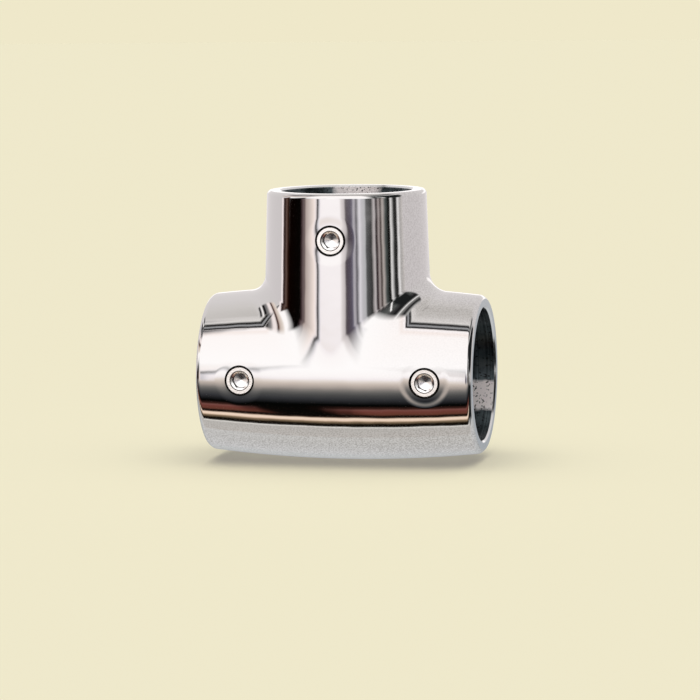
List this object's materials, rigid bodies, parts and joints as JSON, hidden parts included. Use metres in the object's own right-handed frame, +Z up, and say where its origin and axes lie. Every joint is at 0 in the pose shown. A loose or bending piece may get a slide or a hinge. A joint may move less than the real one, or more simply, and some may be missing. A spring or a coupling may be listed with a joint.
{
  "type": "tube clamp tee fitting",
  "caption": "Polished cast tee that joins a branch tube to a through tube at a right angle, each tube clamped by cup-point set screws.",
  "frame": {"origin": "where the axis of the run's through bore crosses the axis of the stub's bore", "axes": "X along the run, +Z up the stub, and the set screws face -Y"},
  "size_m": [0.0468, 0.0293, 0.0458],
  "materials": {
    "polished_casting": "cast stainless steel, mirror polished outside, machined in the bores",
    "turned_screw": "turned stainless steel with a punched hexagon socket"
  },
  "bodies": {
    "casting": {"tee_body": "polished_casting"},
    "stub_screw": {"stub_set_screw": "turned_screw"},
    "left_screw": {"left_set_screw": "turned_screw"},
    "right_screw": {"right_set_screw": "turned_screw"}
  },
  "joints": [
    {"name": "stub_screw_feed", "type": "slide", "parent": "casting", "child": "stub_screw", "axis": [0, 1, 0], "range_m": [0, 0.0012]},
    {"name": "left_screw_feed", "type": "slide", "parent": "casting", "child": "left_screw", "axis": [0, 1, 0], "range_m": [0, 0.0012]},
    {"name": "right_screw_feed", "type": "slide", "parent": "casting", "child": "right_screw", "axis": [0, 1, 0], "range_m": [0, 0.0012]}
  ]
}
